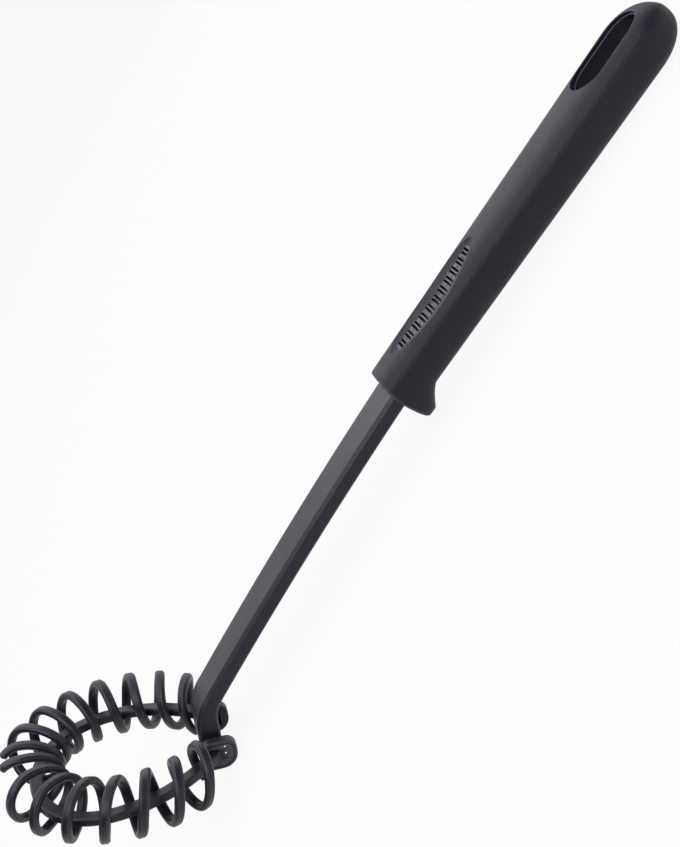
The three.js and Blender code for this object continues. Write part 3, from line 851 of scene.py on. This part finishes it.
def sweep_mesh():
    profile = [(SWEEP_FRONT, 0), (0, 0), (SWEEP_BACK, 0)]
    for i in range(1, SWEEP_STEPS + 1):
        angle = pi / 2 * i / SWEEP_STEPS
        profile.append((SWEEP_BACK + SWEEP_RADIUS * sin(angle), SWEEP_RADIUS * (1 - cos(angle))))
    profile.append((SWEEP_BACK + SWEEP_RADIUS, SWEEP_TOP))
    mesh = bmesh.new()
    edges = (-SWEEP_HALF_WIDTH, SWEEP_HALF_WIDTH)
    sides = [[mesh.verts.new((x, y, z)) for y, z in profile] for x in edges]
    for i in range(len(profile) - 1):
        mesh.faces.new((sides[0][i], sides[1][i], sides[1][i + 1], sides[0][i + 1]))
    return mesh


def sweep_material():
    """Paper that is white to the camera and in reflections, with a share left that takes shadows."""
    material = bpy.data.materials.new("white_sweep")
    material.use_nodes = True
    nodes = material.node_tree.nodes
    link = material.node_tree.links.new
    paper = nodes["Principled BSDF"]
    paper.inputs["Base Color"].default_value = (PAPER_GREY, PAPER_GREY, PAPER_GREY, 1)
    paper.inputs["Roughness"].default_value = PAPER_ROUGHNESS
    glow = nodes.new("ShaderNodeEmission")
    glow.inputs["Color"].default_value = (1, 1, 1, 1)
    glow.inputs["Strength"].default_value = 1
    path = nodes.new("ShaderNodeLightPath")
    seen = nodes.new("ShaderNodeMath")
    seen.operation = "MAXIMUM"
    link(path.outputs["Is Camera Ray"], seen.inputs[0])
    link(path.outputs["Is Glossy Ray"], seen.inputs[1])
    any_view = nodes.new("ShaderNodeMath")
    any_view.operation = "MAXIMUM"
    link(seen.outputs[0], any_view.inputs[0])
    link(path.outputs["Is Transmission Ray"], any_view.inputs[1])
    share = nodes.new("ShaderNodeMath")
    share.operation = "MULTIPLY"
    share.inputs[1].default_value = WHITE_SHARE
    link(any_view.outputs[0], share.inputs[0])
    mix = nodes.new("ShaderNodeMixShader")
    link(share.outputs[0], mix.inputs["Fac"])
    link(paper.outputs["BSDF"], mix.inputs[1])
    link(glow.outputs["Emission"], mix.inputs[2])
    link(mix.outputs["Shader"], nodes["Material Output"].inputs["Surface"])
    return material


sweep = piece_of("sweep", sweep_mesh())
sweep.data.shade_smooth()
sweep.data.materials.append(sweep_material())

# Light: a dim room, a wide soft lamp overhead, one low behind the tool and one high in front

ROOM_COLOUR = (0.85, 0.92, 1.0, 1)
ROOM_STRENGTH = 0.15
LAMP_COLOUR = (0.95, 0.94, 1)

scene = bpy.context.scene
world = bpy.data.worlds.new("room")
world.use_nodes = True
room = world.node_tree.nodes["Background"]
room.inputs["Color"].default_value = ROOM_COLOUR
room.inputs["Strength"].default_value = ROOM_STRENGTH
scene.world = world


def soft_lamp(name, place, target, width, height, power):
    data = bpy.data.lights.new(name, "AREA")
    data.shape = "RECTANGLE"
    data.size = width
    data.size_y = height
    data.energy = power
    data.color = LAMP_COLOUR
    lamp = bpy.data.objects.new(name, data)
    bpy.context.collection.objects.link(lamp)
    aim = (Vector(target) - Vector(place)).to_track_quat("-Z", "Y")
    lamp.matrix_world = Matrix.Translation(place) @ aim.to_matrix().to_4x4()


soft_lamp("key", (0.1, -0.12, 0.95), (0.1, -0.12, 0), width=1.2, height=2.1, power=15)
soft_lamp("back", (0.25, 1.05, 0.5), (0, 0, 0.02), width=0.9, height=0.7, power=1.8)
soft_lamp("front", (0.1, -1.05, 1.0), (0, 0, 0.02), width=0.9, height=0.8, power=6.5)

# Camera, at the viewing angle of the photo

CAMERA_PLACE = (0.072018, -0.368038, 0.161474)
CAMERA_RIGHT = Vector((0.513075, -0.212150, -0.831713))
CAMERA_UP = Vector((0.839778, 0.324511, 0.435275))

camera_data = bpy.data.cameras.new("camera")
camera_data.sensor_width = 36
camera_data.lens = 57.97
camera = bpy.data.objects.new("camera", camera_data)
bpy.context.collection.objects.link(camera)
camera_back = CAMERA_RIGHT.cross(CAMERA_UP)
camera_turn = Matrix((CAMERA_RIGHT, CAMERA_UP, camera_back)).transposed().to_4x4()
camera.matrix_world = Matrix.Translation(CAMERA_PLACE) @ camera_turn
scene.camera = camera

scene.view_settings.view_transform = "Standard"
